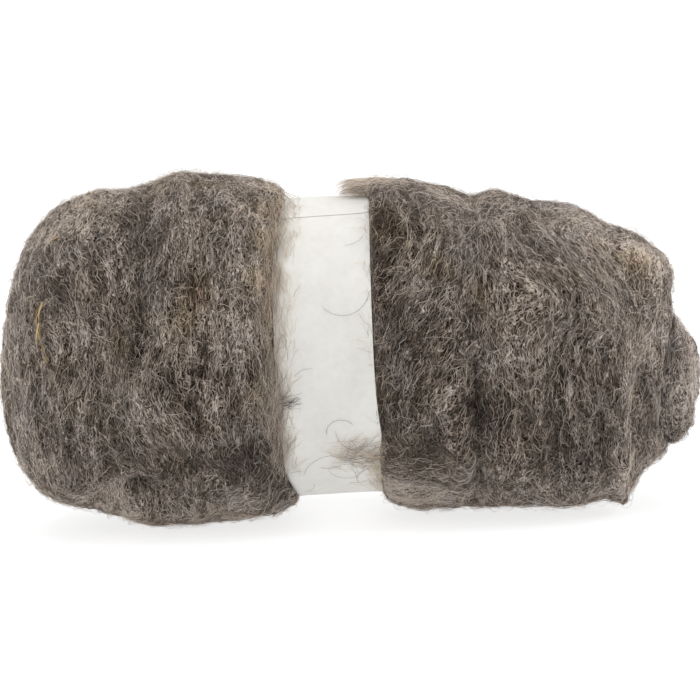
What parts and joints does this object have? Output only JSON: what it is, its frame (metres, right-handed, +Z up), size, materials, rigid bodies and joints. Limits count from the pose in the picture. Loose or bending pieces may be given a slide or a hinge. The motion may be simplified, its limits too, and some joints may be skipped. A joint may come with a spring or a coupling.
{
  "type": "wool roving roll",
  "caption": "Soft roll of carded grey wool with two plump lobes, drawn in at the waist by a plain white paper band; lies on its side.",
  "frame": {"origin": "on the surface that the roll lies on, under the middle of its box", "axes": "+Z up, +X along the roll from its wide lobe to its tapered lobe, -Y the front with the paper's lap above the middle"},
  "size_m": [0.28, 0.1336, 0.1421],
  "materials": {
    "grey_wool": "matte natural grey-brown carded wool, fuzzy crimped fibres",
    "white_paper": "matte uncoated off-white paper, no print"
  },
  "bodies": {
    "root": {"wool_roll": "grey_wool", "paper_band": "white_paper"}
  },
  "joints": []
}
